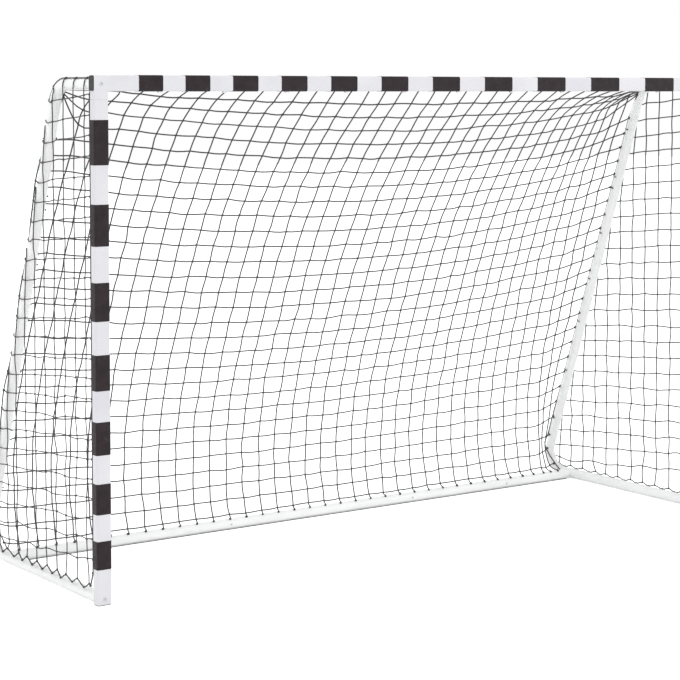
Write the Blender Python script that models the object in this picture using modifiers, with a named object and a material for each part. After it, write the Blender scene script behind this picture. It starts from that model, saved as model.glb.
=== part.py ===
"""A soccer goal of rectangular front tubes and round rear tubes, with taped bands and a cord net.

Units are metres. +X runs along the crossbar to the right, +Y into the goal and +Z up.
The origin is on the ground, at the middle of the goal's footprint.
"""

import math

import bmesh
import bpy
from mathutils import Matrix, Vector

# Front frame: rectangular tubes with rounded edges, their broad face to the front
OPENING_WIDTH = 2.50
OPENING_HEIGHT = 1.60
FRONT_FACE = 0.050
FRONT_DEPTH = 0.032
FRONT_WALL = 0.0015
FRONT_ROUND = 0.006
CORNER_STUB = 0.025
BANDS_LEFT_OF_JOINT = 4
BANDS_RIGHT_OF_JOINT = 3
BANDS_BELOW_JOINT = 4

# Rear frame: round tubes
ROUND_TUBE_RADIUS = 0.019
ROUND_WALL = 0.0015
BEND_RADIUS = 0.080
TOP_TUBE_DROP = 0.028
UPRIGHT_TOP_DEPTH = 0.292
UPRIGHT_FOOT_DEPTH = 0.856
REAR_RAIL_DEPTH = 0.690
RAIL_STUB = 0.345
RAIL_MIDDLE = 0.830
UPRIGHT_BUTTON_HEIGHT = 0.965

# Joints between tubes, and how far a cutter runs past what it cuts
GAP = 0.0003
SPARE = 0.006
NECK_LENGTH = 0.040
NECK_SHOULDER = 0.0017
NECK_SEAT = 0.0005

# The weld of the rear rail's stub to the ground rail: the stub slims a little before it meets the other tube
COPE_START = 0.003
COPE_REACH = 0.021
COPE_TAPER = 0.004
COPE_SLIM = 0.0008

# Black bands: tape wrapped round the front tubes. As in the photo, each band and each white between two bands is
# longer than the one before it, along the crossbar from left to right and up the posts from the foot
BAND_TAPE = 0.0004
CROSSBAR_BANDS = 11
CROSSBAR_LEFT_WHITE = 0.1565
CROSSBAR_RIGHT_WHITE = 0.1415
CROSSBAR_GROWTH = 1.055
POST_BANDS = 7
POST_FOOT_WHITE = 0.1135
POST_TOP_WHITE = 0.1380
POST_GROWTH = 1.077
WHITE_TO_BAND = 0.94

# Plugs in the open ends of the front tubes
PLUG_INSET = 0.0020
END_PLUG_PLATE = 0.0025
FOOT_PLUG_PLATE = 0.0020
PLUG_SKIRT = 0.0085
PLUG_WALL = 0.0020

# Bolts through the front tubes into inserts in the side tubes
BOLT_RADIUS = 0.0030
BOLT_HEAD_RADIUS = 0.0055
BOLT_HEAD_HEIGHT = 0.0030
BOLT_EDGE_RADIUS = 0.0050
BOLT_EDGE_HEIGHT = 0.0018
BOLT_FLAT_RADIUS = 0.0033
BOLT_SOCKET_RADIUS = 0.0022
BOLT_SOCKET = 0.0020
BOLT_BITE = 0.018
INSERT_LENGTH = 0.024
INSERT_FLANGE = 0.0015
INSERT_RIM = 0.0010

# Snap buttons: a spring clip inside the necked joints
BUTTON_RADIUS = 0.0033
BUTTON_PROUD = 0.0030
BUTTON_DOME = 0.0012
BUTTON_CROWN = 0.0004
BUTTON_FLAT_RADIUS = 0.0023
BUTTON_PLACE = 0.020
BUTTON_COLLAR_RADIUS = 0.0050
BUTTON_COLLAR = 0.0010
CLIP_WIDTH = 0.0070
CLIP_THICKNESS = 0.0008
CLIP_LENGTH = 0.032
CLIP_DROP = 0.010

# Nets: a coarse lattice, one cord for about every fourth of the real net
NET_CORD = 0.004
REAR_NET_COLUMNS = 10
REAR_NET_ROWS = 8
SIDE_NET_COLUMNS = 3
SIDE_NET_ROWS = 8
SIDE_NET_HEM_HEIGHT = 0.050
REAR_NET_HEM_HEIGHT = 0.006
REAR_NET_PULL = 2.0
NET_BELLY = 0.205
NET_FULLNESS = 2.7
HANG_STEPS = 24

# Facets, and the distance within which points become one
WELD = 1e-6
SMOOTH_ANGLE = math.radians(35)
ROUND_SIDES = 20
SMALL_SIDES = 16
CORNER_STEPS = 3
BEND_STEPS = 9

# Sizes that follow
WIDTH = OPENING_WIDTH + 2 * FRONT_FACE
HEIGHT = OPENING_HEIGHT + FRONT_FACE
SIDE_X = WIDTH / 2 - FRONT_FACE / 2
TOP_TUBE_Z = HEIGHT - TOP_TUBE_DROP
RAIL_Z = ROUND_TUBE_RADIUS
POST_FOOT_Z = FOOT_PLUG_PLATE + GAP
STUB_Z = OPENING_HEIGHT - CORNER_STUB
ROUND_INNER = ROUND_TUBE_RADIUS - ROUND_WALL
NECK_RADIUS = ROUND_INNER - GAP
NECK_INNER = NECK_RADIUS - ROUND_WALL
SIDE_NET_X = SIDE_X + ROUND_TUBE_RADIUS + GAP + NET_CORD / 2
REAR_NET_X = SIDE_X - ROUND_TUBE_RADIUS - GAP - NET_CORD / 2
NET_OFFSET = ROUND_TUBE_RADIUS + GAP + NET_CORD / 2
TUBE_END_DEPTH = FRONT_DEPTH + GAP + INSERT_FLANGE + GAP

# The slope of the side frame's upright, and how far its bends reach along their tubes
SLOPE = math.atan2(UPRIGHT_FOOT_DEPTH - UPRIGHT_TOP_DEPTH, TOP_TUBE_Z - RAIL_Z)
FOOT_BEND_REACH = BEND_RADIUS * math.tan((math.pi / 2 + SLOPE) / 2)
REAR_DEPTH = UPRIGHT_FOOT_DEPTH - FOOT_BEND_REACH + BEND_RADIUS + ROUND_TUBE_RADIUS
GOAL_LINE_Y = (GAP + BOLT_HEAD_HEIGHT - REAR_DEPTH) / 2


def in_goal(x, depth, z):
    """A point given by its distance behind the goal line, in the part's frame."""
    return Vector((x, GOAL_LINE_Y + depth, z))


def collection(name):
    made = bpy.data.collections.new(name)
    bpy.context.scene.collection.children.link(made)
    return made


def material(name, colour, roughness, metallic=0.0):
    made = bpy.data.materials.new(name)
    made.use_nodes = True
    shader = made.node_tree.nodes["Principled BSDF"]
    shader.inputs["Base Color"].default_value = (*colour, 1.0)
    shader.inputs["Roughness"].default_value = roughness
    shader.inputs["Metallic"].default_value = metallic
    return made


def link(obj, paint):
    PARTS.objects.link(obj)
    obj.data.materials.clear()
    obj.data.materials.append(paint)
    return obj


def helper(obj):
    """A shape that only cuts or joins: kept out of the part itself."""
    CUTTERS.objects.link(obj)
    obj.hide_render = True
    obj.display_type = "WIRE"
    return obj


def facing(start, direction, across=Vector((0, 0, 1))):
    """A matrix whose +Z runs from start along direction, with +X as near as can be to across."""
    z = Vector(direction).normalized()
    if abs(z.dot(across)) > 0.99:
        across = Vector((0, 1, 0))
    x = (across - z * across.dot(z)).normalized()
    return Matrix.Translation(start) @ Matrix((x, z.cross(x), z)).transposed().to_4x4()


def combine(obj, other, operation):
    made = obj.modifiers.new(other.name, "BOOLEAN")
    made.operation = operation
    made.solver = "MANIFOLD"
    made.object = other


def as_mesh(curve_object):
    """The welded mesh of a curve object, in its place."""
    graph = bpy.context.evaluated_depsgraph_get()
    mesh = bpy.data.meshes.new_from_object(curve_object.evaluated_get(graph))
    shape = bmesh.new()
    shape.from_mesh(mesh)
    bmesh.ops.remove_doubles(shape, verts=shape.verts, dist=WELD)
    bmesh.ops.recalc_face_normals(shape, faces=shape.faces)
    shape.to_mesh(mesh)
    shape.free()
    name = curve_object.name
    placed = curve_object.matrix_world.copy()
    bpy.data.objects.remove(curve_object, do_unlink=True)
    made = bpy.data.objects.new(name, mesh)
    made.matrix_world = placed
    return made


def smooth(obj):
    obj.data.shade_smooth()
    obj.data.set_sharp_from_angle(angle=SMOOTH_ANGLE)
    return obj


# Outlines and extrusions


def front_facing(start, direction):
    """A matrix whose +Z runs from start along a front tube, with +X into the goal and +Y across the broad face."""
    return facing(start, direction, Vector((0, 1, 0)))


def section(inset=0.0):
    """The outline of the front tube, or of what lies inset inside it, counter-clockwise."""
    points = []
    corner = FRONT_ROUND - inset
    deep = FRONT_DEPTH / 2 - FRONT_ROUND
    broad = FRONT_FACE / 2 - FRONT_ROUND
    for quarter, (sx, sy) in enumerate(((1, 1), (-1, 1), (-1, -1), (1, -1))):
        for step in range(CORNER_STEPS + 1):
            angle = math.pi / 2 * (quarter + step / CORNER_STEPS)
            points.append((sx * deep + corner * math.cos(angle), sy * broad + corner * math.sin(angle)))
    return points


def extrusion(name, outlines, low, high, matrix):
    """A flat outline, and any holes in it, stretched from low to high along the matrix's +Z."""
    curve = bpy.data.curves.new(name, "CURVE")
    curve.dimensions = "2D"
    curve.fill_mode = "BOTH"
    curve.extrude = (high - low) / 2
    for outline in outlines:
        spline = curve.splines.new("POLY")
        spline.points.add(len(outline) - 1)
        for point, (x, y) in zip(spline.points, outline):
            point.co = (x, y, 0, 1)
        spline.use_cyclic_u = True
    made = bpy.data.objects.new(name, curve)
    made.matrix_world = matrix @ Matrix.Translation((0, 0, (low + high) / 2))
    bpy.context.scene.collection.objects.link(made)
    bpy.context.view_layer.update()
    return as_mesh(made)


def section_ring(name, inset, wall, low, high, matrix):
    """A length of tube of the front section, inset from its outside, with its own wall."""
    return extrusion(name, (section(inset), section(inset + wall)), low, high, matrix)


def turned(name, profile, matrix, sides=ROUND_SIDES, closed=True):
    """A profile of (radius, height) turned about the matrix's +Z. It runs down its outer side."""
    mesh = bpy.data.meshes.new(name)
    edges = [(i, i + 1) for i in range(len(profile) - 1)]
    if closed:
        edges.append((len(profile) - 1, 0))
    mesh.from_pydata([(radius, 0, height) for radius, height in profile], edges, [])
    made = bpy.data.objects.new(name, mesh)
    made.matrix_world = matrix
    screw = made.modifiers.new("Turn", "SCREW")
    screw.steps = sides
    screw.render_steps = sides
    screw.use_merge_vertices = True
    screw.merge_threshold = WELD
    screw.use_smooth_shade = True
    return made


def drill(obj, name, start, direction, radius, length):
    """A round hole from start along direction."""
    profile = ((0, length), (radius, length), (radius, 0), (0, 0))
    bit = helper(turned(name, profile, facing(start, direction), SMALL_SIDES, closed=False))
    combine(obj, bit, "DIFFERENCE")


# Rectangular tubes of the front frame


def add_front_neck(obj, end):
    """A smaller tube that slides into the next front tube; end's +Z points out of the open end."""
    shoulder = section_ring(
        f"{obj.name}_shoulder_{len(obj.modifiers)}", FRONT_WALL / 2, FRONT_WALL + GAP,
        -NECK_SEAT - NECK_SHOULDER, -NECK_SEAT, end,
    )
    neck = section_ring(
        f"{obj.name}_neck_{len(obj.modifiers)}", FRONT_WALL + GAP, FRONT_WALL,
        -NECK_SEAT - NECK_SHOULDER / 2, NECK_LENGTH, end,
    )
    combine(shoulder, helper(neck), "UNION")
    combine(obj, helper(shoulder), "UNION")


def front_tube(name, start, direction, length):
    made = section_ring(name, 0, FRONT_WALL, 0, length, front_facing(start, direction))
    return link(smooth(made), WHITE_SQUARE)


def bolt_holes(obj, side, z):
    """The bolt's holes through the front and rear walls."""
    start = in_goal(side * SIDE_X, -SPARE, z)
    drill(obj, f"{obj.name}_bolt_hole", start, (0, 1, 0), BOLT_RADIUS + GAP, FRONT_DEPTH + 2 * SPARE)


def band_places(count, growth, first, last):
    """Both ends of each of count bands, which with the whites between them fill the run from first to last."""
    shares = [growth**i for i in range(count)]
    unit = (last - first) / (sum(shares) + WHITE_TO_BAND * sum(shares[:-1]))
    places = []
    start = first
    for share in shares:
        places.append((start, start + unit * share))
        start += unit * share * (1 + WHITE_TO_BAND)
    return places


def make_crossbar():
    middle_z = HEIGHT - FRONT_FACE / 2
    left_joint = CROSSBAR_PLACES[BANDS_LEFT_OF_JOINT - 1][1]
    right_joint = CROSSBAR_PLACES[-BANDS_RIGHT_OF_JOINT][0]
    centre_depth = FRONT_DEPTH / 2
    for side, name, joint in ((-1, "crossbar_left", left_joint), (1, "crossbar_right", right_joint)):
        run = front_facing(in_goal(side * WIDTH / 2, centre_depth, middle_z), (-side, 0, 0))
        length = WIDTH / 2 - side * joint
        bar = extrusion(name, [section()], 0, length, run)
        stub_top = in_goal(side * SIDE_X, centre_depth, OPENING_HEIGHT + FRONT_ROUND)
        stub = section_ring(
            f"{name}_stub", GAP, FRONT_WALL - GAP, 0, CORNER_STUB + FRONT_ROUND, front_facing(stub_top, (0, 0, -1)),
        )
        add_front_neck(stub, front_facing(in_goal(side * SIDE_X, centre_depth, STUB_Z), (0, 0, -1)))
        bore = extrusion(f"{name}_bore", [section(FRONT_WALL)], -SPARE, length + SPARE, run)
        combine(bar, helper(stub), "UNION")
        combine(bar, helper(bore), "DIFFERENCE")
        link(smooth(bar), WHITE_SQUARE)
        add_front_neck(bar, front_facing(in_goal(joint, centre_depth, middle_z), (-side, 0, 0)))
        bolt_holes(bar, side, TOP_TUBE_Z)
    middle_start = in_goal(left_joint + GAP, centre_depth, middle_z)
    front_tube("crossbar_middle", middle_start, (1, 0, 0), right_joint - left_joint - 2 * GAP)


def make_posts():
    joint = POST_PLACES[BANDS_BELOW_JOINT - 1][1]
    for side, name in ((-1, "left_post"), (1, "right_post")):
        foot = in_goal(side * SIDE_X, FRONT_DEPTH / 2, POST_FOOT_Z)
        lower = front_tube(f"{name}_lower", foot, (0, 0, 1), joint - POST_FOOT_Z)
        seam = in_goal(side * SIDE_X, FRONT_DEPTH / 2, joint)
        add_front_neck(lower, front_facing(seam, (0, 0, 1)))
        bolt_holes(lower, side, RAIL_Z)
        upper_start = in_goal(side * SIDE_X, FRONT_DEPTH / 2, joint + GAP)
        front_tube(f"{name}_upper", upper_start, (0, 0, 1), STUB_Z - joint - 2 * GAP)


def tape_band(name, start, direction, length):
    made = section_ring(name, -GAP - BAND_TAPE, BAND_TAPE, 0, length, front_facing(start, direction))
    return link(smooth(made), TAPE)


def make_bands():
    middle_z = HEIGHT - FRONT_FACE / 2
    for i, (low, high) in enumerate(CROSSBAR_PLACES):
        tape_band(f"crossbar_band_{i + 1:02}", in_goal(low, FRONT_DEPTH / 2, middle_z), (1, 0, 0), high - low)
    for side, name in ((-1, "left"), (1, "right")):
        for i, (low, high) in enumerate(POST_PLACES):
            start = in_goal(side * SIDE_X, FRONT_DEPTH / 2, low)
            tape_band(f"{name}_post_band_{i + 1}", start, (0, 0, 1), high - low)


def plug(name, matrix, plate, paint):
    """A plate over a tube's end and a skirt inside it; +Z points into the tube from the plate's outer face."""
    made = extrusion(name, [section(PLUG_INSET)], 0, plate, matrix)
    skirt = section_ring(f"{name}_skirt", FRONT_WALL + GAP, PLUG_WALL, plate / 2, plate + PLUG_SKIRT, matrix)
    combine(made, helper(skirt), "UNION")
    return link(made, paint)


def make_plugs():
    middle_z = HEIGHT - FRONT_FACE / 2
    for side, name in ((-1, "left"), (1, "right")):
        end = in_goal(side * (WIDTH / 2 + GAP + END_PLUG_PLATE), FRONT_DEPTH / 2, middle_z)
        plug(f"crossbar_plug_{name}", front_facing(end, (-side, 0, 0)), END_PLUG_PLATE, PLASTIC)
        floor = in_goal(side * SIDE_X, FRONT_DEPTH / 2, 0)
        plug(f"foot_plug_{name}", front_facing(floor, (0, 0, 1)), FOOT_PLUG_PLATE, PLASTIC)


# Round tubes of the rear frame


def fillet(before, corner, after, radius):
    """The points of an arc that rounds a corner, as (depth, height) pairs."""
    before, corner, after = Vector(before), Vector(corner), Vector(after)
    into = (corner - before).normalized()
    out = (after - corner).normalized()
    turn = into.angle(out)
    reach = radius * math.tan(turn / 2)
    start = corner - into * reach
    side = 1 if into.x * out.y - into.y * out.x > 0 else -1
    centre = start + Vector((-into.y, into.x)) * side * radius
    points = []
    for step in range(BEND_STEPS + 1):
        angle = side * turn * step / BEND_STEPS
        arm = start - centre
        turned_arm = Vector((
            arm.x * math.cos(angle) - arm.y * math.sin(angle),
            arm.x * math.sin(angle) + arm.y * math.cos(angle),
        ))
        points.append(tuple(centre + turned_arm))
    return points


TOP_START = (TUBE_END_DEPTH, TOP_TUBE_Z)
TOP_CORNER = (UPRIGHT_TOP_DEPTH, TOP_TUBE_Z)
FOOT_CORNER = (UPRIGHT_FOOT_DEPTH, RAIL_Z)
RAIL_END = (TUBE_END_DEPTH, RAIL_Z)
TOP_BEND = fillet(TOP_START, TOP_CORNER, FOOT_CORNER, BEND_RADIUS)
FOOT_BEND = fillet(TOP_CORNER, FOOT_CORNER, RAIL_END, BEND_RADIUS)
UPRIGHT_DOWN = (math.sin(SLOPE), -math.cos(SLOPE))


def on_upright(z):
    """The upright's axis at a height, as (depth, height)."""
    return UPRIGHT_TOP_DEPTH + (TOP_TUBE_Z - z) * math.tan(SLOPE), z


def bent_rod(name, x, path, radius, spare):
    """A solid rod along a path of (depth, height) pairs, longer by spare at both ends."""
    curve = bpy.data.curves.new(name, "CURVE")
    curve.dimensions = "3D"
    curve.twist_mode = "MINIMUM"
    curve.bevel_depth = radius
    curve.bevel_resolution = ROUND_SIDES // 2 - 2
    curve.use_fill_caps = True
    points = [in_goal(x, depth, z) for depth, z in path]
    points[0] += (points[0] - points[1]).normalized() * spare
    points[-1] += (points[-1] - points[-2]).normalized() * spare
    spline = curve.splines.new("POLY")
    spline.points.add(len(points) - 1)
    for target, point in zip(spline.points, points):
        target.co = (*point, 1)
    made = bpy.data.objects.new(name, curve)
    bpy.context.scene.collection.objects.link(made)
    bpy.context.view_layer.update()
    return as_mesh(made)


def bent_tube(name, x, path, welded=()):
    """A hollow tube along a path, with other pieces welded to its outside."""
    made = bent_rod(name, x, path, ROUND_TUBE_RADIUS, 0)
    for piece in welded:
        combine(made, helper(piece), "UNION")
    bore = bent_rod(f"{name}_bore", x, path, ROUND_INNER, SPARE)
    combine(made, helper(bore), "DIFFERENCE")
    return link(smooth(made), WHITE_ROUND)


def round_neck(name, matrix, length_before=0.0, coped=False):
    """A neck on a shoulder; with length_before, also the tube that leads to it. +Z leaves the tube."""
    tip = NECK_LENGTH
    if length_before:
        far = -length_before
        tail = [(ROUND_TUBE_RADIUS, far), (ROUND_INNER, far)]
        if coped:
            slim = far + COPE_REACH
            full = slim + COPE_TAPER
            slim_outer = ROUND_TUBE_RADIUS - COPE_SLIM
            slim_inner = ROUND_INNER - COPE_SLIM
            outer = [(ROUND_TUBE_RADIUS, full), (slim_outer, slim), (slim_outer, far)]
            inner = [(slim_inner, far), (slim_inner, slim), (ROUND_INNER, full)]
            tail = outer + inner
        profile = (
            (NECK_INNER, tip), (NECK_RADIUS, tip), (NECK_RADIUS, 0), (ROUND_TUBE_RADIUS, 0), *tail,
            (ROUND_INNER, -NECK_SHOULDER), (NECK_INNER, -NECK_SHOULDER),
        )
    else:
        seat = ROUND_TUBE_RADIUS - ROUND_WALL / 2
        profile = (
            (NECK_INNER, tip), (NECK_RADIUS, tip), (NECK_RADIUS, -NECK_SEAT), (seat, -NECK_SEAT),
            (seat, -NECK_SEAT - NECK_SHOULDER), (NECK_INNER, -NECK_SEAT - NECK_SHOULDER),
        )
    return turned(name, profile, matrix)


def button_hole(obj, name, centre, outward):
    """The hole that a snap button comes out of, in one wall only."""
    start = Vector(centre) + Vector(outward) * NECK_INNER / 2
    drill(obj, name, start, outward, BUTTON_RADIUS + GAP, ROUND_TUBE_RADIUS)


def make_side_frames():
    down = Vector((0, *UPRIGHT_DOWN))
    seam = Vector(on_upright(UPRIGHT_BUTTON_HEIGHT)) + Vector(UPRIGHT_DOWN) * BUTTON_PLACE
    for side, name in ((-1, "left"), (1, "right")):
        x = side * SIDE_X
        inward = (-side, 0, 0)
        button = in_goal(x, *on_upright(UPRIGHT_BUTTON_HEIGHT))
        upper_end = seam - Vector(UPRIGHT_DOWN) * GAP
        upper = bent_tube(f"{name}_upper_side_tube", x, [TOP_START, *TOP_BEND, tuple(upper_end)])
        button_hole(upper, f"{name}_upper_button_hole", button, inward)
        stub_end = in_goal(x - side * RAIL_STUB, REAR_RAIL_DEPTH, RAIL_Z)
        stub = round_neck(f"{name}_rail_stub", facing(stub_end, inward), RAIL_STUB - COPE_START, coped=True)
        lower = bent_tube(f"{name}_lower_side_tube", x, [tuple(seam), *FOOT_BEND, RAIL_END], [stub])
        neck = round_neck(f"{name}_side_neck", facing(in_goal(x, *seam), -down))
        combine(lower, helper(neck), "UNION")
        button_hole(lower, f"{name}_lower_button_hole", button, inward)
        rail_button = in_goal(x - side * (RAIL_STUB + BUTTON_PLACE), REAR_RAIL_DEPTH, RAIL_Z)
        button_hole(lower, f"{name}_stub_button_hole", rail_button, (0, -1, 0))


def make_rear_rail():
    """Three sections: both outer ones slip over the stubs, and each neck points to the right."""
    stub_x = SIDE_X - RAIL_STUB
    half = RAIL_MIDDLE / 2
    for name, start, end, necked in (
        ("rear_rail_left", -stub_x + GAP, -half, True),
        ("rear_rail_middle", -half + GAP, half, True),
        ("rear_rail_right", half + GAP, stub_x - GAP, False),
    ):
        if necked:
            matrix = facing(in_goal(end, REAR_RAIL_DEPTH, RAIL_Z), (1, 0, 0))
            rail = round_neck(name, matrix, end - start)
        else:
            matrix = facing(in_goal(start, REAR_RAIL_DEPTH, RAIL_Z), (1, 0, 0))
            length = end - start
            plain = (
                (ROUND_TUBE_RADIUS, length), (ROUND_TUBE_RADIUS, 0), (ROUND_INNER, 0), (ROUND_INNER, length),
            )
            rail = turned(name, plain, matrix)
        link(rail, WHITE_ROUND)
        for place, _ in RAIL_BUTTONS:
            if start - NECK_LENGTH < place < end + NECK_LENGTH:
                hole = in_goal(place, REAR_RAIL_DEPTH, RAIL_Z)
                button_hole(rail, f"{name}_hole_{place:.2f}", hole, (0, -1, 0))


def make_inserts_and_bolts():
    for side, name in ((-1, "left"), (1, "right")):
        for place, z in (("crossbar", TOP_TUBE_Z), ("foot", RAIL_Z)):
            rim = ROUND_TUBE_RADIUS - INSERT_RIM
            hole = BOLT_RADIUS + GAP
            insert_profile = (
                (hole, INSERT_LENGTH), (NECK_RADIUS, INSERT_LENGTH), (NECK_RADIUS, INSERT_FLANGE),
                (rim, INSERT_FLANGE), (rim, 0), (hole, 0),
            )
            start = in_goal(side * SIDE_X, FRONT_DEPTH + GAP, z)
            link(turned(f"{place}_insert_{name}", insert_profile, facing(start, (0, 1, 0)), SMALL_SIDES), PLASTIC)
            shank = FRONT_DEPTH + BOLT_BITE
            head = -GAP - BOLT_HEAD_HEIGHT
            bolt_profile = (
                (0, shank), (BOLT_RADIUS, shank), (BOLT_RADIUS, -GAP), (BOLT_HEAD_RADIUS, -GAP),
                (BOLT_EDGE_RADIUS, -GAP - BOLT_EDGE_HEIGHT), (BOLT_FLAT_RADIUS, head),
                (BOLT_SOCKET_RADIUS, head), (BOLT_SOCKET_RADIUS, head + BOLT_SOCKET), (0, head + BOLT_SOCKET),
            )
            front = in_goal(side * SIDE_X, 0, z)
            bolt = turned(f"{place}_bolt_{name}", bolt_profile, facing(front, (0, 1, 0)), SMALL_SIDES, closed=False)
            link(bolt, STEEL)


# Snap buttons


def snap_button(name, centre, outward, along):
    """A domed button, its collar and the bent leaf of its spring clip, inside a necked joint."""
    centre, outward, along = Vector(centre), Vector(outward), Vector(along)
    collar_top = math.sqrt(NECK_INNER ** 2 - BUTTON_COLLAR_RADIUS ** 2) - 2 * GAP
    collar_low = collar_top - BUTTON_COLLAR
    tip = ROUND_TUBE_RADIUS + BUTTON_PROUD
    profile = (
        (0, tip), (BUTTON_FLAT_RADIUS, tip - BUTTON_CROWN), (BUTTON_RADIUS, tip - BUTTON_DOME),
        (BUTTON_RADIUS, collar_top), (BUTTON_COLLAR_RADIUS, collar_top),
        (BUTTON_COLLAR_RADIUS, collar_low), (0, collar_low),
    )
    made = turned(name, profile, facing(centre, outward, along), SMALL_SIDES, closed=False)
    near = collar_low
    turn_out = CLIP_LENGTH + 2 * CLIP_THICKNESS
    leaf = [
        (-BUTTON_COLLAR_RADIUS, near + CLIP_THICKNESS / 2), (BUTTON_COLLAR_RADIUS, near + CLIP_THICKNESS / 2),
        (turn_out, near - CLIP_DROP), (0, near - 2 * CLIP_DROP),
        (0, near - 2 * CLIP_DROP + CLIP_THICKNESS), (CLIP_LENGTH, near - CLIP_DROP),
        (BUTTON_COLLAR_RADIUS, near - CLIP_THICKNESS / 2), (-BUTTON_COLLAR_RADIUS, near - CLIP_THICKNESS / 2),
    ]
    across = along.cross(outward)
    turn = Matrix((along, outward, across)).transposed().to_4x4()
    place = Matrix.Translation(centre) @ turn
    clip = extrusion(f"{name}_clip", [leaf], -CLIP_WIDTH / 2, CLIP_WIDTH / 2, place)
    combine(made, helper(clip), "UNION")
    return link(made, STEEL)


def make_snap_buttons():
    for i, (x, neck_way) in enumerate(RAIL_BUTTONS):
        centre = in_goal(x, REAR_RAIL_DEPTH, RAIL_Z)
        snap_button(f"rail_snap_button_{i + 1}", centre, (0, -1, 0), (-neck_way, 0, 0))
    for side, name in ((-1, "left"), (1, "right")):
        centre = in_goal(side * SIDE_X, *on_upright(UPRIGHT_BUTTON_HEIGHT))
        snap_button(f"{name}_upright_snap_button", centre, (-side, 0, 0), (0, *UPRIGHT_DOWN))


# Nets


def evenly(points, count):
    """count + 1 points at even distances along a polyline."""
    points = [Vector(p) for p in points]
    steps = [(b - a).length for a, b in zip(points, points[1:])]
    total = sum(steps)
    found = []
    for i in range(count + 1):
        left = total * i / count
        k = 0
        while k < len(steps) - 1 and left > steps[k]:
            left -= steps[k]
            k += 1
        found.append(points[k].lerp(points[k + 1], min(left / steps[k], 1)))
    return found


def side_outline(offset, low):
    """The side frame's outline from the crossbar round to the height low, offset outwards."""
    top = (FRONT_DEPTH + GAP + NET_CORD / 2, TOP_TUBE_Z + offset)
    path = [top]
    for bend, before in ((TOP_BEND, TOP_CORNER), (FOOT_BEND, FOOT_CORNER)):
        for (y0, z0), (y1, z1) in zip(bend, bend[1:]):
            along = Vector((y1 - y0, z1 - z0)).normalized()
            middle = Vector(((y0 + y1) / 2, (z0 + z1) / 2))
            point = middle + Vector((-along.y, along.x)) * offset
            if point.y > low:
                path.append(tuple(point))
    return path


def hanging(top, low):
    """The slack line of the net from top to low, fullest near its middle, as (depth, height) pairs."""
    points = []
    for step in range(HANG_STEPS + 1):
        share = step / HANG_STEPS
        belly = NET_BELLY * (1 - abs(2 * share - 1) ** NET_FULLNESS)
        points.append((top[0] + (low[0] - top[0]) * share + belly, top[1] + (low[1] - top[1]) * share))
    return points


def lattice(name, columns, rows, place):
    """A net of square cords: a grid, each point put in its place, turned into bars."""
    shape = bmesh.new()
    bmesh.ops.create_grid(shape, x_segments=columns, y_segments=rows, size=0.5)
    for vertex in shape.verts:
        column = round((vertex.co.x + 0.5) * columns)
        row = round((0.5 - vertex.co.y) * rows)
        vertex.co = place(column, row)
    mesh = bpy.data.meshes.new(name)
    shape.to_mesh(mesh)
    shape.free()
    made = bpy.data.objects.new(name, mesh)
    bars = made.modifiers.new("Cords", "WIREFRAME")
    bars.thickness = NET_CORD
    bars.offset = 0
    bars.use_boundary = True
    bars.use_replace = True
    bars.use_even_offset = True
    return link(made, CORD)


def make_nets():
    hem = (REAR_RAIL_DEPTH + ROUND_TUBE_RADIUS + GAP + NET_CORD, REAR_NET_HEM_HEIGHT)
    top_depth = FRONT_DEPTH + GAP + BAND_TAPE + NET_CORD
    edge = evenly([*side_outline(ROUND_TUBE_RADIUS, BEND_RADIUS), hem], REAR_NET_ROWS)
    middle = evenly(hanging((top_depth, OPENING_HEIGHT), hem), REAR_NET_ROWS)

    def rear_place(column, row):
        across = 2 * column / REAR_NET_COLUMNS - 1
        pull = abs(across) ** REAR_NET_PULL
        depth, z = middle[row].lerp(edge[row], pull)
        return in_goal(across * REAR_NET_X, max(depth, top_depth), z)

    lattice("rear_net", REAR_NET_COLUMNS, REAR_NET_ROWS, rear_place)
    outer = evenly(side_outline(NET_OFFSET, SIDE_NET_HEM_HEIGHT)[1:], SIDE_NET_ROWS)
    front_depth = FRONT_DEPTH + GAP + BAND_TAPE + NET_CORD
    for side, name in ((-1, "left_net"), (1, "right_net")):

        def side_place(column, row, side=side):
            depth, z = outer[row]
            share = column / SIDE_NET_COLUMNS
            front_z = outer[0].y + (SIDE_NET_HEM_HEIGHT - outer[0].y) * row / SIDE_NET_ROWS
            return in_goal(side * SIDE_NET_X, front_depth + (depth - front_depth) * share, front_z + (z - front_z) * share)

        lattice(name, SIDE_NET_COLUMNS, SIDE_NET_ROWS, side_place)


for old in list(bpy.data.objects):
    bpy.data.objects.remove(old, do_unlink=True)
PARTS = collection("soccer_goal")
CUTTERS = collection("cutters")
WHITE_SQUARE = material("white_square_tube", (0.82, 0.82, 0.85), 0.35)
WHITE_ROUND = material("white_round_tube", (0.80, 0.81, 0.80), 0.40)
TAPE = material("black_tape", (0.040, 0.034, 0.036), 0.45)
PLASTIC = material("black_plastic", (0.035, 0.035, 0.037), 0.50)
STEEL = material("zinc_steel", (0.55, 0.56, 0.58), 0.35, 1.0)
CORD = material("black_cord", (0.030, 0.030, 0.032), 0.85)
CROSSBAR_PLACES = band_places(
    CROSSBAR_BANDS, CROSSBAR_GROWTH, CROSSBAR_LEFT_WHITE - WIDTH / 2, WIDTH / 2 - CROSSBAR_RIGHT_WHITE
)
POST_PLACES = band_places(POST_BANDS, POST_GROWTH, POST_FOOT_WHITE, HEIGHT - POST_TOP_WHITE)

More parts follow.
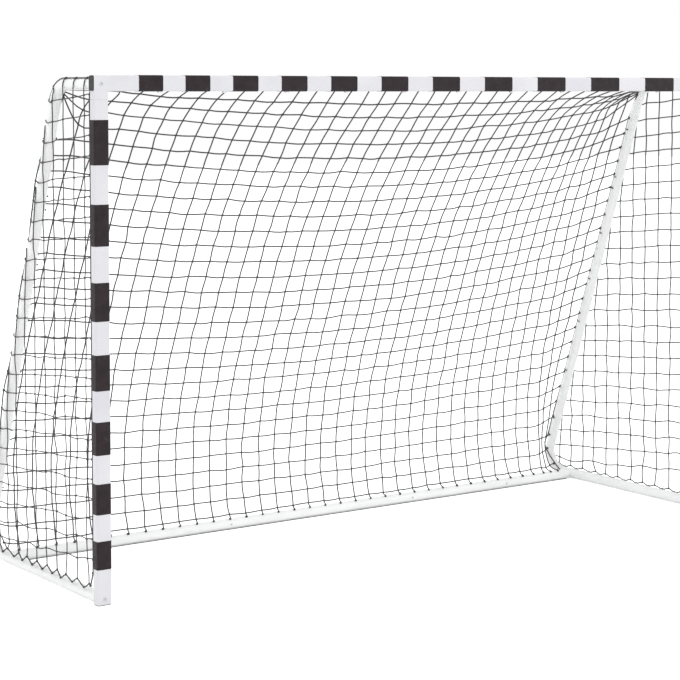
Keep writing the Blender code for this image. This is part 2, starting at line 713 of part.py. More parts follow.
# Each button of the rear rail: where it is, and the way its neck points
RAIL_BUTTONS = (
    (RAIL_STUB - SIDE_X + BUTTON_PLACE, 1),
    (BUTTON_PLACE - RAIL_MIDDLE / 2, 1),
    (BUTTON_PLACE + RAIL_MIDDLE / 2, 1),
    (SIDE_X - RAIL_STUB - BUTTON_PLACE, -1),
)
make_crossbar()
make_posts()
make_bands()
make_plugs()
make_side_frames()
make_rear_rail()
make_inserts_and_bolts()
make_snap_buttons()
make_nets()
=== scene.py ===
"""The soccer goal's looks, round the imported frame: knotted cord nets, their lacing and all surface finishes.

Lengths are in metres. The nets are laid out as x, depth and height, where depth runs back from the front of
the goal, and in_goal() puts such points into the frame's own axes.
"""
import math
from typing import NamedTuple

import bmesh
import bpy
import numpy as np
from mathutils import Matrix, Vector


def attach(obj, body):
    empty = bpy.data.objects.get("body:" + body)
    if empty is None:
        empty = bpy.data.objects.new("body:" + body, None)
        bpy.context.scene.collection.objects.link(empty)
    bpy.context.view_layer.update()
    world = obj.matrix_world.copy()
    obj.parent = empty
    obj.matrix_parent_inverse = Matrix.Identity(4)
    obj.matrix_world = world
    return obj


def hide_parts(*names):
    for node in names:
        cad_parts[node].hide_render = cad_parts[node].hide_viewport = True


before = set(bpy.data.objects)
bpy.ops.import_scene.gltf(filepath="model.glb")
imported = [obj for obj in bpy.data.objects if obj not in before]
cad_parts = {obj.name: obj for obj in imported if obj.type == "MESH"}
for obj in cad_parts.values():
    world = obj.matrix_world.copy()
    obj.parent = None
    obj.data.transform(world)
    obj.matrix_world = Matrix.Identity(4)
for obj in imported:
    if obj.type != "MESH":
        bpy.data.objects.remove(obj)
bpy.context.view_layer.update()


def linear(*srgb):
    """An sRGB colour, 0 to 255, as the linear colour that a shader takes."""
    return tuple(c / 255 / 12.92 if c <= 10 else ((c / 255 + 0.055) / 1.055) ** 2.4 for c in srgb) + (1.0,)


def grey(value):
    """A linear grey, for ramps that give a share or a roughness."""
    return (value, value, value, 1.0)


def new_object(name, mesh):
    obj = bpy.data.objects.new(name, mesh)
    bpy.context.scene.collection.objects.link(obj)
    return obj


# Camera, floor and light

CAMERA_PLACE = (-4.1167, -5.7513, 1.6002)
CAMERA_PITCH, CAMERA_TURN = math.pi / 2 - 0.06, -0.6111
SENSOR_MM, LENS_MM = 36, 103.33
SHIFT_Y = -0.1934

SKY_COLOUR, SKY_STRENGTH = (0.99, 0.99, 1, 1), 1.04
FLOOR_HALF, FLOOR_Z = 30, -0.0005
FLOOR_COLOUR, FLOOR_ROUGHNESS, FLOOR_SPECULAR = (0.92, 0.92, 0.92, 1), 0.9, 0.1
FLOOR_GLOW = 0.50
# Name, place, aim, diameter and watts of each lamp
LAMPS = (
    ("key", (-3.2, -4.6, 4.6), (0, 0, 0.7), 3.6, 36),
    ("fill", (4.6, -3.2, 3.2), (0, 0, 0.8), 3.2, 36),
    ("back", (0.4, 4.6, 4.4), (0, 0, 0.9), 3.6, 50),
)


def add_camera():
    data = bpy.data.cameras.new("camera")
    data.sensor_width, data.lens, data.shift_y = SENSOR_MM, LENS_MM, SHIFT_Y
    camera = new_object("camera", data)
    camera.location = CAMERA_PLACE
    camera.rotation_euler = (CAMERA_PITCH, 0, CAMERA_TURN)
    bpy.context.scene.camera = camera


def node_tree(name):
    material = bpy.data.materials.new(name)
    material.use_nodes = True
    return material, material.node_tree.nodes, material.node_tree.links


def seen_directly(nodes, links):
    """1 for a camera, glossy or transmission ray, 0 for a ray that lights the object."""
    path = nodes.new("ShaderNodeLightPath")
    first, second = nodes.new("ShaderNodeMath"), nodes.new("ShaderNodeMath")
    first.operation = second.operation = "MAXIMUM"
    links.new(path.outputs["Is Camera Ray"], first.inputs[0])
    links.new(path.outputs["Is Glossy Ray"], first.inputs[1])
    links.new(first.outputs[0], second.inputs[0])
    links.new(path.outputs["Is Transmission Ray"], second.inputs[1])
    return second.outputs[0]


def add_world():
    """A soft even light, which is plain white where it is seen directly."""
    world = bpy.data.worlds.new("studio")
    bpy.context.scene.world = world
    world.use_nodes = True
    nodes, links = world.node_tree.nodes, world.node_tree.links
    nodes.clear()
    light, white = nodes.new("ShaderNodeBackground"), nodes.new("ShaderNodeBackground")
    light.inputs["Color"].default_value = SKY_COLOUR
    light.inputs["Strength"].default_value = SKY_STRENGTH
    white.inputs["Color"].default_value = grey(1)
    mix, out = nodes.new("ShaderNodeMixShader"), nodes.new("ShaderNodeOutputWorld")
    links.new(seen_directly(nodes, links), mix.inputs[0])
    links.new(light.outputs[0], mix.inputs[1])
    links.new(white.outputs[0], mix.inputs[2])
    links.new(mix.outputs[0], out.inputs[0])


def add_floor():
    """A pale floor that keeps the shadows. Its glow shows only where it is seen directly."""
    corners = [(x * FLOOR_HALF, y * FLOOR_HALF, FLOOR_Z) for x, y in ((-1, -1), (1, -1), (1, 1), (-1, 1))]
    mesh = bpy.data.meshes.new("floor")
    mesh.from_pydata(corners, [], [(0, 1, 2, 3)])
    floor = new_object("floor", mesh)
    material, nodes, links = node_tree("floor")
    shader = nodes["Principled BSDF"]
    shader.inputs["Base Color"].default_value = FLOOR_COLOUR
    shader.inputs["Roughness"].default_value = FLOOR_ROUGHNESS
    shader.inputs["Specular IOR Level"].default_value = FLOOR_SPECULAR
    glow, add = nodes.new("ShaderNodeEmission"), nodes.new("ShaderNodeAddShader")
    strength = nodes.new("ShaderNodeMath")
    strength.operation = "MULTIPLY"
    strength.inputs[1].default_value = FLOOR_GLOW
    links.new(seen_directly(nodes, links), strength.inputs[0])
    links.new(strength.outputs[0], glow.inputs["Strength"])
    links.new(shader.outputs[0], add.inputs[0])
    links.new(glow.outputs[0], add.inputs[1])
    links.new(add.outputs[0], nodes["Material Output"].inputs[0])
    mesh.materials.append(material)


def add_lamps():
    for name, place, aim, diameter, power in LAMPS:
        data = bpy.data.lights.new(name, "AREA")
        data.shape, data.size, data.energy = "DISK", diameter, power
        lamp = new_object(name, data)
        lamp.location = place
        lamp.rotation_euler = (Vector(aim) - Vector(place)).to_track_quat("-Z", "Y").to_euler()


# Materials

class Finish:
    """A material in the making. Its textures lie in object space, so they need no UVs."""

    def __init__(self, name):
        self.material, self.nodes, self.links = node_tree(name)
        self.shader = self.nodes["Principled BSDF"]
        self.coordinates = self.nodes.new("ShaderNodeTexCoord")
        self.place = self.coordinates.outputs["Object"]

    def give(self, source, socket):
        self.links.new(source, self.shader.inputs[socket])

    def set(self, socket, value):
        self.shader.inputs[socket].default_value = value

    def grain(self, scale, detail, stretch=(1, 1, 1)):
        """A noise texture, as fine as scale says, drawn out along an axis where stretch is below 1."""
        mapping, noise = self.nodes.new("ShaderNodeMapping"), self.nodes.new("ShaderNodeTexNoise")
        mapping.inputs["Scale"].default_value = stretch
        noise.inputs["Scale"].default_value = scale
        noise.inputs["Detail"].default_value = detail
        self.links.new(self.place, mapping.inputs[0])
        self.links.new(mapping.outputs[0], noise.inputs["Vector"])
        return noise.outputs[0]

    def ramp(self, source, *stops):
        """A value turned into a colour, by two stops of value and colour."""
        found = self.nodes.new("ShaderNodeValToRGB")
        for element, (place, colour) in zip(found.color_ramp.elements, stops):
            element.position, element.color = place, colour
        self.links.new(source, found.inputs[0])
        return found.outputs[0]

    def over(self, share, below, colour):
        """A colour laid over another one where share is above 0."""
        mix = self.nodes.new("ShaderNodeMix")
        mix.data_type = "RGBA"
        self.links.new(share, mix.inputs[0])
        self.links.new(below, mix.inputs[6])
        mix.inputs[7].default_value = colour
        return mix.outputs[2]

    def bump(self, height, distance, strength, below=None):
        found = self.nodes.new("ShaderNodeBump")
        found.inputs["Distance"].default_value = distance
        found.inputs["Strength"].default_value = strength
        self.links.new(height, found.inputs["Height"])
        if below is not None:
            self.links.new(below, found.inputs["Normal"])
        return found.outputs[0]

    def roughness(self, source, smooth, rough):
        self.give(self.ramp(source, (0.3, grey(smooth)), (0.7, grey(rough))), "Roughness")


def powder_coat(name, colour, tint):
    """White powder coat: a fine orange peel, a faint drift in its tone, and a few grey handling marks."""
    coat = Finish(name)
    tone = coat.ramp(coat.grain(scale=5, detail=3), (0.35, tint), (0.65, colour))
    smudges = coat.grain(scale=26, detail=7, stretch=(0.35, 1, 0.6))
    marks = coat.ramp(smudges, (0.64, grey(0)), (0.78, grey(0.30)))
    coat.give(coat.over(marks, tone, linear(176, 175, 172)), "Base Color")
    coat.roughness(coat.grain(scale=60, detail=5), smooth=0.33, rough=0.46)
    coat.give(coat.bump(coat.grain(scale=420, detail=2), distance=0.00025, strength=0.45), "Normal")
    coat.set("Coat Weight", 0.12)
    coat.set("Coat Roughness", 0.25)
    return coat.material


def tape(name):
    """Brown-black cloth tape: a fine crosswise weave, soft creases and slightly worn high spots."""
    cloth = Finish(name)
    cloud = cloth.grain(scale=34, detail=6)
    tone = cloth.ramp(cloud, (0.3, linear(34, 26, 29)), (0.72, linear(46, 38, 41)))
    scuffs = cloth.grain(scale=120, detail=8, stretch=(0.3, 1, 0.3))
    worn = cloth.ramp(scuffs, (0.66, grey(0)), (0.80, grey(0.35)))
    cloth.give(cloth.over(worn, tone, linear(88, 82, 83)), "Base Color")
    cloth.roughness(cloth.grain(scale=90, detail=4), smooth=0.42, rough=0.60)
    weave = cloth.nodes.new("ShaderNodeTexWave")
    weave.bands_direction = "DIAGONAL"
    weave.inputs["Scale"].default_value = 260
    weave.inputs["Distortion"].default_value = 1.2
    cloth.links.new(cloth.place, weave.inputs["Vector"])
    threads = cloth.bump(weave.outputs["Fac"], distance=0.00012, strength=0.5)
    creases = cloth.grain(scale=48, detail=3, stretch=(1, 0.4, 1))
    cloth.give(cloth.bump(creases, distance=0.0006, strength=0.5, below=threads), "Normal")
    cloth.set("Specular IOR Level", 0.20)
    return cloth.material


def moulded_plastic(name):
    """Black moulded plastic with a spark-eroded grain."""
    plastic = Finish(name)
    cloud = plastic.grain(scale=40, detail=4)
    plastic.give(plastic.ramp(cloud, (0.3, linear(30, 30, 31)), (0.7, linear(44, 43, 44))), "Base Color")
    plastic.roughness(plastic.grain(scale=150, detail=4), smooth=0.45, rough=0.62)
    plastic.give(plastic.bump(plastic.grain(scale=900, detail=3), distance=0.0002, strength=0.5), "Normal")
    return plastic.material


def zinc(name):
    """Zinc-plated steel: a bright metal with a faint bluish cloud and fine turning marks."""
    metal = Finish(name)
    cloud = metal.grain(scale=160, detail=5)
    metal.give(metal.ramp(cloud, (0.3, linear(172, 176, 182)), (0.7, linear(206, 207, 208))), "Base Color")
    metal.set("Metallic", 1.0)
    metal.roughness(metal.grain(scale=300, detail=5), smooth=0.26, rough=0.42)
    marks = metal.grain(scale=1500, detail=2, stretch=(1, 1, 0.2))
    metal.give(metal.bump(marks, distance=0.0001, strength=0.4), "Normal")
    return metal.material


def twine(name, twisted):
    """Black polyethylene twine. A twisted strand shows its lay by its UVs, a knot only its fibres."""
    cord = Finish(name)
    cloud = cord.grain(scale=300, detail=5)
    cord.give(cord.ramp(cloud, (0.3, linear(50, 48, 50)), (0.72, linear(80, 78, 80))), "Base Color")
    surface = cord.bump(cord.grain(scale=1400, detail=3), distance=0.0002, strength=0.5)
    if twisted:
        lay, mapping = cord.nodes.new("ShaderNodeTexWave"), cord.nodes.new("ShaderNodeMapping")
        lay.bands_direction = "DIAGONAL"
        lay.inputs["Scale"].default_value = 1.0
        mapping.inputs["Scale"].default_value = (60, 0.9, 1)
        cord.links.new(cord.coordinates.outputs["UV"], mapping.inputs[0])
        cord.links.new(mapping.outputs[0], lay.inputs["Vector"])
        surface = cord.bump(lay.outputs["Fac"], distance=0.0005, strength=0.7, below=surface)
    cord.give(surface, "Normal")
    cord.set("Roughness", 0.48)
    cord.set("Specular IOR Level", 0.35)
    return cord.material


# Cords and knots

CORD, EDGE_CORD, TIE_CORD = 0.0024, 0.0023, 0.0013    # radii
CORD_SIDES = 6
CELL_STEPS = 3    # straight pieces in each cell's cord
STEEP = 0.8       # the Z of a cord's first direction from which its first side faces along Y and not up
TINY = 1e-12

KNOT = 0.0033     # radius
LOBES, LOBE_HEIGHT = 3, 0.24
KNOT_STRETCH = (1.0, 0.85, 1.15)
KNOT_SPIN, KNOT_TILT = 6.28, 0.5    # radians
KNOT_SIZES = (0.85, 1.15)


def smooth_path(knots, wander=None):
    """A curve through the knots. wander gives each cell its own small bow sideways."""
    knots = np.asarray(knots, float)
    before = np.vstack([2 * knots[0] - knots[1], knots, 2 * knots[-1] - knots[-2]])
    p0, p1, p2, p3 = before[:-3], before[1:-2], before[2:-1], before[3:]
    rows = []
    for step in range(CELL_STEPS):
        t = step / CELL_STEPS
        point = 0.5 * (2 * p1 + (p2 - p0) * t
                       + (2 * p0 - 5 * p1 + 4 * p2 - p3) * t * t + (3 * p1 - p0 - 3 * p2 + p3) * t ** 3)
        if wander is not None:
            point = point + wander * math.sin(math.pi * t)
        rows.append(point)
    woven = np.stack(rows, 1).reshape(-1, 3)
    return np.vstack([woven, knots[-1]])


class Cords:
    """Round cords swept along paths, all in one mesh, with UVs that run along and round each."""

    def __init__(self, radius):
        self.radius = radius
        self.points, self.faces, self.uvs, self.count = [], [], [], 0

    def sweep(self, path, radius=None):
        path = np.asarray(path, float)
        radius = radius or self.radius
        along = np.gradient(path, axis=0)
        along /= np.linalg.norm(along, axis=1)[:, None] + TINY
        up = np.array((0.0, 0.0, 1.0)) if abs(along[0][2]) < STEEP else np.array((0.0, 1.0, 0.0))
        angles = 2 * np.pi * np.arange(CORD_SIDES) / CORD_SIDES
        for place, way in zip(path, along):
            up = up - way * up.dot(way)
            up /= np.linalg.norm(up)
            across = np.cross(way, up)
            ring = np.cos(angles)[:, None] * up + np.sin(angles)[:, None] * across
            self.points.append(place + radius * ring)
        self.skin(np.concatenate([[0], np.cumsum(np.linalg.norm(np.diff(path, axis=0), axis=1))]))

    def skin(self, lengths):
        """Faces and UVs over the newest rings, one for each length along the cord, and a cap at each end."""
        n, s, first = len(lengths), CORD_SIDES, self.count
        for i in range(n - 1):
            low, high = lengths[i], lengths[i + 1]
            for k in range(s):
                a, b = first + i * s + k, first + i * s + (k + 1) % s
                self.faces.append((a, b, b + s, a + s))
                self.uvs += [(low, k / s), (low, (k + 1) / s), (high, (k + 1) / s), (high, k / s)]
        for ring, turn in ((first, -1), (first + (n - 1) * s, 1)):
            face = [ring + k for k in range(s)]
            self.faces.append(tuple(face[::turn]))
            self.uvs += [(0, 0)] * s
        self.count += n * s

    def build(self, name, material):
        mesh = bpy.data.meshes.new(name)
        mesh.from_pydata(np.vstack(self.points).tolist(), [], self.faces)
        layer = mesh.uv_layers.new(name="lay")
        layer.data.foreach_set("uv", np.array(self.uvs, np.float32).ravel())
        mesh.materials.append(material)
        mesh.shade_smooth()
        return new_object(name, mesh)


def knots_mesh(name, places, size, material, seed):
    """One lumpy knot at each place: three turns of cord pulled tight, each turned its own way."""
    ball = bmesh.new()
    bmesh.ops.create_icosphere(ball, subdivisions=2, radius=1)
    shape = np.array([v.co for v in ball.verts])
    faces = np.array([[v.index for v in f.verts] for f in ball.faces])
    ball.free()
    around = np.arctan2(shape[:, 1], shape[:, 0])
    lobes = 1 + LOBE_HEIGHT * np.cos(LOBES * around + LOBES * shape[:, 2])
    shape = shape * lobes[:, None] * np.array(KNOT_STRETCH)
    chance = np.random.default_rng(seed)
    radius = KNOT * size
    points, indices = [], []
    for number, place in enumerate(places):
        spin = Matrix.Rotation(chance.uniform(0, KNOT_SPIN), 3, "Y")
        tilt = Matrix.Rotation(chance.uniform(-KNOT_TILT, KNOT_TILT), 3, "X")
        points.append(place + radius * chance.uniform(*KNOT_SIZES) * shape @ np.array(spin @ tilt).T)
        indices.append(faces + number * len(shape))
    mesh = bpy.data.meshes.new(name)
    mesh.from_pydata(np.vstack(points).tolist(), [], np.vstack(indices).tolist())
    mesh.materials.append(material)
    mesh.shade_smooth()
    return new_object(name, mesh)


def carried(piece, slot, *nodes):
    """The piece rides on the frame and stands for the nodes. The slot is not used."""
    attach(piece, "goal")
    if nodes:
        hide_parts(*nodes)
    return piece


# The frame's tubes, as the CAD has them

FRONT_Y = -0.419373
SIDE_X = 1.275
TUBE_RADIUS = 0.019
BEND_RADIUS = 0.080
TOP_TUBE_Z = 1.622
UPRIGHT_TOP = (0.292, TOP_TUBE_Z)
UPRIGHT_FOOT = (0.856, 0.019)
UPRIGHT_SLOPE = (UPRIGHT_FOOT[0] - UPRIGHT_TOP[0]) / (UPRIGHT_TOP[1] - UPRIGHT_FOOT[1])
BEND_TURN = math.pi / 2 - math.atan(UPRIGHT_SLOPE)
BEND_CENTRE = np.array((UPRIGHT_TOP[0] - BEND_RADIUS * math.tan(BEND_TURN / 2), TOP_TUBE_Z - BEND_RADIUS))
FOOT_RUN = BEND_RADIUS / math.tan(BEND_TURN / 2)
FOOT_CENTRE = np.array((UPRIGHT_FOOT[0] - FOOT_RUN, UPRIGHT_FOOT[1] + BEND_RADIUS))
STRAIGHT_FROM = UPRIGHT_FOOT[1] + FOOT_RUN * math.sin(BEND_TURN)
RAIL_AT = (0.690, 0.019)

CORD_GAP = 0.0024    # from a tube's surface to the middle of a cord that lies on it
WRAP_GAP = 0.0028


def in_goal(points):
    """Points given as x, depth and height, in the frame's own axes."""
    points = np.array(points, float)
    points[..., 1] += FRONT_Y
    return points


def upright_depth(height):
    return UPRIGHT_TOP[0] + (UPRIGHT_TOP[1] - height) * UPRIGHT_SLOPE


def on_bend(turn):
    """The middle of the bend above the upright, and its outward way, after a turn from the top tube."""
    outward = np.array((math.sin(turn), math.cos(turn)))
    return BEND_CENTRE + BEND_RADIUS * outward, outward


def on_upright(height):
    """The middle of the upright, or of the bend at its foot, at a height, and its outward way."""
    if height < STRAIGHT_FROM:
        rise = (height - FOOT_CENTRE[1]) / BEND_RADIUS
        outward = np.array((math.sqrt(1 - rise * rise), rise))
        return FOOT_CENTRE + BEND_RADIUS * outward, outward
    return np.array((upright_depth(height), height)), np.array((math.sin(BEND_TURN), math.cos(BEND_TURN)))


def on_tube(side, tube, angle, gap=CORD_GAP):
    """A point on a side frame's tube, given by its middle and outward way: at 0 degrees on its outward edge,
    and at 90 on the face that looks sideways out of the goal."""
    middle, outward = tube
    reach = TUBE_RADIUS + gap
    depth, height = middle + outward * reach * math.cos(math.radians(angle))
    return np.array((side * (SIDE_X + reach * math.sin(math.radians(angle))), depth, height))


# Rear net

MESH = 0.07052
FIRST_COLUMN_X = -1.21868
COLUMNS, ROWS = 35, 30
EXTRA_COLUMNS = 2                          # between the last column and the right edge
FIRST_ROW_GAP, LAST_ROW_GAP = 1.10, 0.65   # in rows of middling height
ROW_STRETCH = 0.117                        # by which share the top rows are taller, and the lowest less tall
NET_TOP = (0.037, 1.600)
NET_HEM = (0.713, 0.006)
BELLY, FULLNESS = 0.213, 2.76              # how far it hangs back at half height, and how squarely
BELLY_SAMPLES = 400
TOP_EASE = (0, 0.5, 0.8)                   # share of the corner's pull that rows 0, 1 and 2 take
SLIDE, SLIDE_FROM_COLUMN = 0.0406, 28      # the right end is gathered inwards, and forwards with it
SLIDE_FORWARD = 1.12
FREE_TOP_FROM = 1.05                       # further out, the top edge leaves the crossbar for its tie
TOP_TUCK, TOP_CORNER_LIFT = 0.006, 0.012   # of row 0 behind the crossbar, and of rows 0 and 1 at the tie
KNOT_LOOSENESS = 0.0014
ROW_WANDER, COLUMN_WANDER, CELL_SAG = 0.0009, 0.0008, 0.0010    # of the cords between knots

EDGE_X = 1.2537
TIE_DEPTH, TIE_HEIGHT = 0.285, 1.612
TIED_ROWS = 4
TIED_STEP = (0.003, -0.0065)               # between tied rows
EDGE_STANDOFF = 0.004
EDGE_RIPPLE, RIPPLE_ROWS = 0.010, 3.5
RIGHT_EDGE_RISE = 0.05                     # at half height
RIGHT_TOP_RISE = 0.028                     # in the first row below the tied ones, then half as much each row
FOOT_ROWS, FOOT_EASE = 4, 4                # rows in which the edge goes from the upright to the hem
FOOT_LOWEST = 0.04                         # the height below which it follows the foot no further
LACE_ANGLES = (-58, -14)                   # degrees round the upright, from the net to its edge cord
LACE_TURN, LACE_TURN_ROWS = -13, 7         # degrees for each row, from so many rows above the hem

RAIL_REACH = 0.0215
RAIL_TURNS = (0.9, 1.5, 2.0)               # over the rail, from its rear to its front, in radians
TAIL_SLANT = 0.7
# A thin dark cord on the floor, tucked into the wedge under the front of the rear rail. It is partly the net's
# hem cord and partly painted shade that deepens the dark line where the rail meets the floor.
HEM_CORD_AT, HEM_CORD_AND_SHADE = (0.6768, 0.0012), 0.0011
HEM_CORD_HALF, HEM_CORD_POINTS = 1.236, 60
HEM_CORD_WAVE, HEM_CORD_WAVES = 0.0002, 37
REAR_EDGE_KNOT = 1.25                      # of a knot's radius


class Half(NamedTuple):
    """How one half of the rear net differs from its middle: fully at the edge, and less further in."""
    reach: float         # power by which the difference grows towards the edge
    corner: float        # how far the top corner pulls it back
    fade: float          # power by which that pull fades downwards
    low_sag: float       # how far it is pushed back, most of it low down
    even_sag: float      # how far it is pushed back at half height
    top_lift: float      # how far its upper rows rise
    middle_lift: float   # how far its middle rows rise


RIGHT_HALF = Half(
    reach=2.02, corner=0.196, fade=2.56, low_sag=-0.036, even_sag=0.074, top_lift=0.091, middle_lift=0.050)
LEFT_HALF = Half(
    reach=1.88, corner=0.091, fade=2.26, low_sag=0.185, even_sag=-0.114, top_lift=0.082, middle_lift=0.057)


def middle_rows():
    """Depth, height and share of the way down for each row, in the net's middle."""
    share = np.linspace(0, 1, BELLY_SAMPLES)
    belly = BELLY * (1 - np.abs(2 * share - 1) ** FULLNESS)
    depth = NET_TOP[0] + (NET_HEM[0] - NET_TOP[0]) * share + belly
    height = NET_TOP[1] + (NET_HEM[1] - NET_TOP[1]) * share
    lengths = np.concatenate([[0], np.cumsum(np.hypot(np.diff(depth), np.diff(height)))])
    gaps = 1 + ROW_STRETCH * (1 - np.linspace(0, 2, ROWS))
    gaps[0], gaps[-1] = FIRST_ROW_GAP, LAST_ROW_GAP
    places = np.concatenate([[0], np.cumsum(gaps)])
    places *= lengths[-1] / places[-1]
    return [np.interp(places, lengths, measure) for measure in (depth, height, share)]


def rear_net_knots():
    """Every knot of the rear net, [column][row], as x, depth and height."""
    depth, height, share = middle_rows()
    hump = np.sin(np.pi * share)
    eased = np.ones(ROWS + 1)
    eased[:len(TOP_EASE)] = TOP_EASE
    columns = []
    for number in range(COLUMNS):
        x = FIRST_COLUMN_X + MESH * number
        half = RIGHT_HALF if x > 0 else LEFT_HALF
        pull = abs(x / EDGE_X) ** half.reach
        back = pull * (half.corner * (1 - share) ** half.fade * eased
                       + half.low_sag * hump * share + half.even_sag * hump)
        lift = pull * (half.top_lift * eased * (1 - share) ** 2 + half.middle_lift * hump)
        slide = SLIDE * max(0, (number - SLIDE_FROM_COLUMN) / (COLUMNS - 1 - SLIDE_FROM_COLUMN)) ** 3
        column = np.stack(
            [np.full(ROWS + 1, x - slide), depth + back - SLIDE_FORWARD * slide * hump, height + lift], 1)
        column[0, 2] += TOP_TUCK
        if abs(x) > FREE_TOP_FROM:
            along = (abs(x - slide) - FREE_TOP_FROM) / (EDGE_X - FREE_TOP_FROM)
            column[0, 1] = NET_TOP[0] + (TIE_DEPTH - NET_TOP[0]) * along
            column[:2, 2] += TOP_CORNER_LIFT * along
        columns.append(column)
    left, right = rear_edge(columns[0], -1), rear_edge(columns[-1], 1)
    room = right - columns[-1]
    between = [columns[-1] + room * (extra + 1) / (EXTRA_COLUMNS + 1) for extra in range(EXTRA_COLUMNS)]
    knots = np.stack([left, *columns, *between, right])
    loose = np.random.default_rng(seed=7).normal(0, KNOT_LOOSENESS, knots.shape)
    loose[:, (0, -1)] = 0
    loose[(0, -1), :] = 0
    return knots + loose


def rear_edge(beside, side):
    """The net's edge: its top rows are tied together at the bend, the rest runs down inside the upright."""
    edge = beside.copy()
    edge[:, 0] = side * EDGE_X
    last = len(edge) - 1
    foot = last + 1 - FOOT_ROWS
    for row in range(TIED_ROWS + 1):
        edge[row, 1:] = TIE_DEPTH + TIED_STEP[0] * row, TIE_HEIGHT + TIED_STEP[1] * row
    for row in range(TIED_ROWS + 1, foot):
        z = beside[row, 2]
        if side > 0:
            z = min(z + RIGHT_EDGE_RISE * math.sin(math.pi * row / last), TIE_HEIGHT)
            z += RIGHT_TOP_RISE * 0.5 ** (row - TIED_ROWS - 1)
        edge[row, 1:] = upright_depth(z) + EDGE_STANDOFF, z
    for row in range(foot, last + 1):
        along = (row - last + FOOT_ROWS) / FOOT_ROWS
        on_foot = on_upright(max(beside[row, 2], FOOT_LOWEST))[0][0]
        edge[row, 1] = on_foot + (NET_HEM[0] - on_foot) * along ** FOOT_EASE
        edge[row, 2] = beside[row, 2]
    laced = edge[TIED_ROWS + 1:foot]
    laced[:, 1] += EDGE_RIPPLE * np.abs(np.sin(np.pi * np.arange(len(laced)) / RIPPLE_ROWS))
    return edge


def over_rail(x):
    """Where a column of the rear net that comes down at x goes over the rear rail, to its tail."""
    path = []
    for turn in RAIL_TURNS:
        across = RAIL_REACH * math.cos(turn)
        slant = TAIL_SLANT * (RAIL_AT[0] + across - NET_HEM[0])
        path.append((x + slant, RAIL_AT[0] + across, RAIL_AT[1] + RAIL_REACH * math.sin(turn)))
    return in_goal(path)


def add_rear_net(strand, knot):
    grid = in_goal(rear_net_knots())
    chance = np.random.default_rng(seed=11)
    fine, edges = Cords(CORD), Cords(EDGE_CORD)
    columns, rows = grid.shape[:2]
    ends = ((-1, grid[0]), (1, grid[-1]))
    laced = range(TIED_ROWS + 1, rows - 2)
    tails = []
    for column in range(1, columns - 1):
        over = over_rail(grid[column, -1, 0])
        tails.append(over[-1])
        wander = np.vstack([chance.normal(0, COLUMN_WANDER, (rows - 2, 3)), np.zeros((len(over), 3))])
        fine.sweep(smooth_path([*grid[column, :-1], *over], wander))
    for row in range(1, rows - 1):
        wander = chance.normal(0, ROW_WANDER, (columns - 1, 3)) - (0, 0, CELL_SAG)
        fine.sweep(smooth_path(grid[:, row], wander))
        for side, edge in ends:
            if row in laced:
                tube = on_upright(edge[row, 2])
                round_tube = [in_goal(on_tube(side, tube, angle)) for angle in LACE_ANGLES]
                fine.sweep(smooth_path([edge[row], *round_tube]))
    for side, edge in ends:
        path = list(edge[:TIED_ROWS + 1])
        for row in laced:
            angle = LACE_ANGLES[-1] + LACE_TURN * max(0, row - rows + LACE_TURN_ROWS)
            path.append(in_goal(on_tube(side, on_upright(edge[row, 2]), angle)))
        edges.sweep(smooth_path([*path, edge[-1]]))
    edges.sweep(smooth_path(grid[:, 0]))
    carried(knots_mesh("rear_net_knots", grid[1:-1, 1:-1].reshape(-1, 3), 1, knot, seed=3), "black_cord")
    border = np.concatenate([grid[1:-1, 0], tails, grid[0, TIED_ROWS:], grid[-1, TIED_ROWS:]])
    # The hem cord along the rail's foot, partly painted shade: it darkens the line where the rail meets the
    # floor.
    ground = [(x, HEM_CORD_AT[0], HEM_CORD_AT[1] + HEM_CORD_WAVE * math.sin(HEM_CORD_WAVES * x))
              for x in np.linspace(-HEM_CORD_HALF, HEM_CORD_HALF, HEM_CORD_POINTS)]
    edges.sweep(in_goal(ground), radius=HEM_CORD_AND_SHADE)
    carried(fine.build("rear_net_mesh", strand), "black_cord", "rear_net")
    carried(edges.build("rear_net_edge_cord", strand), "black_cord")
    carried(knots_mesh("rear_net_edge_knots", border, REAR_EDGE_KNOT, knot, seed=4), "black_cord")


# Side nets

SIDE_NET_X = 1.2963
SIDE_MESH = 0.0715
SIDE_FRONT, SIDE_FIRST_CELL = 0.037, 0.037
SIDE_ROW, SIDE_ROWS = 0.0630, 25
SIDE_TILT, SIDE_TILT_FROM = 0.09, 0.19          # every row falls a little towards the upright
LEAST_ROW = 0.012                               # the lowest rows stay at least so far apart
SIDE_HEM, SIDE_CORNER_LIFT = 0.054, 0.044
DIP_AT, DIP_SHARE = 0.5, 1                      # where in a cell the hem dips, and its share of the net's dip
CORNER_DIP_AT, CORNER_DIP_SHARE = 0.26, 2.4     # the same in the narrow cell at the post
HEM_END_HEIGHT, HEM_END_ANGLE = 0.062, 60
SIDE_EDGE_KNOT = 1.2                            # of a knot's radius
# Shares of the net's looseness: in its knots at the top, what is added down to the foot, and in its cords
TOP_SHARE, FOOT_SHARE, CORD_SHARE = 0.6, 0.8, 0.6
KNOT_AXES, CORD_AXES = (0.45, 1, 1), (0.4, 1, 1)

# How cords go round the tubes, in degrees from the outward edge
LACING_ANGLE, LACING_SWING, LACING_JITTER = 30, 34, 5
LACING_WAVES = (0.071, 0.23)
LOOP_LEAST, LOOP_SPREAD = 0.0024, 0.0022
WRAP_FROM, WRAP_FACE, HALFWAY_GAP = 112, 90, 0.0030
TOP_TUBE_WRAP, BEND_WRAP, UPRIGHT_WRAP = (24, 55, 100), (30, 60, 100), (40, 85)
UPRIGHT_WRAP_INSET = 0.018
BEND_EDGE_ANGLE, BEND_EDGE_SHARES = 28, (0.15, 0.5, 0.85)


class SideNet(NamedTuple):
    """What the two side nets don't share."""
    side: int
    node: str
    seed: int
    looseness: float
    start: float       # height that row 0 would have
    cord: float        # radius
    hem_dip: float     # how far the hem hangs between columns
    hem_lift: float    # how far the columns' ends lift the hem


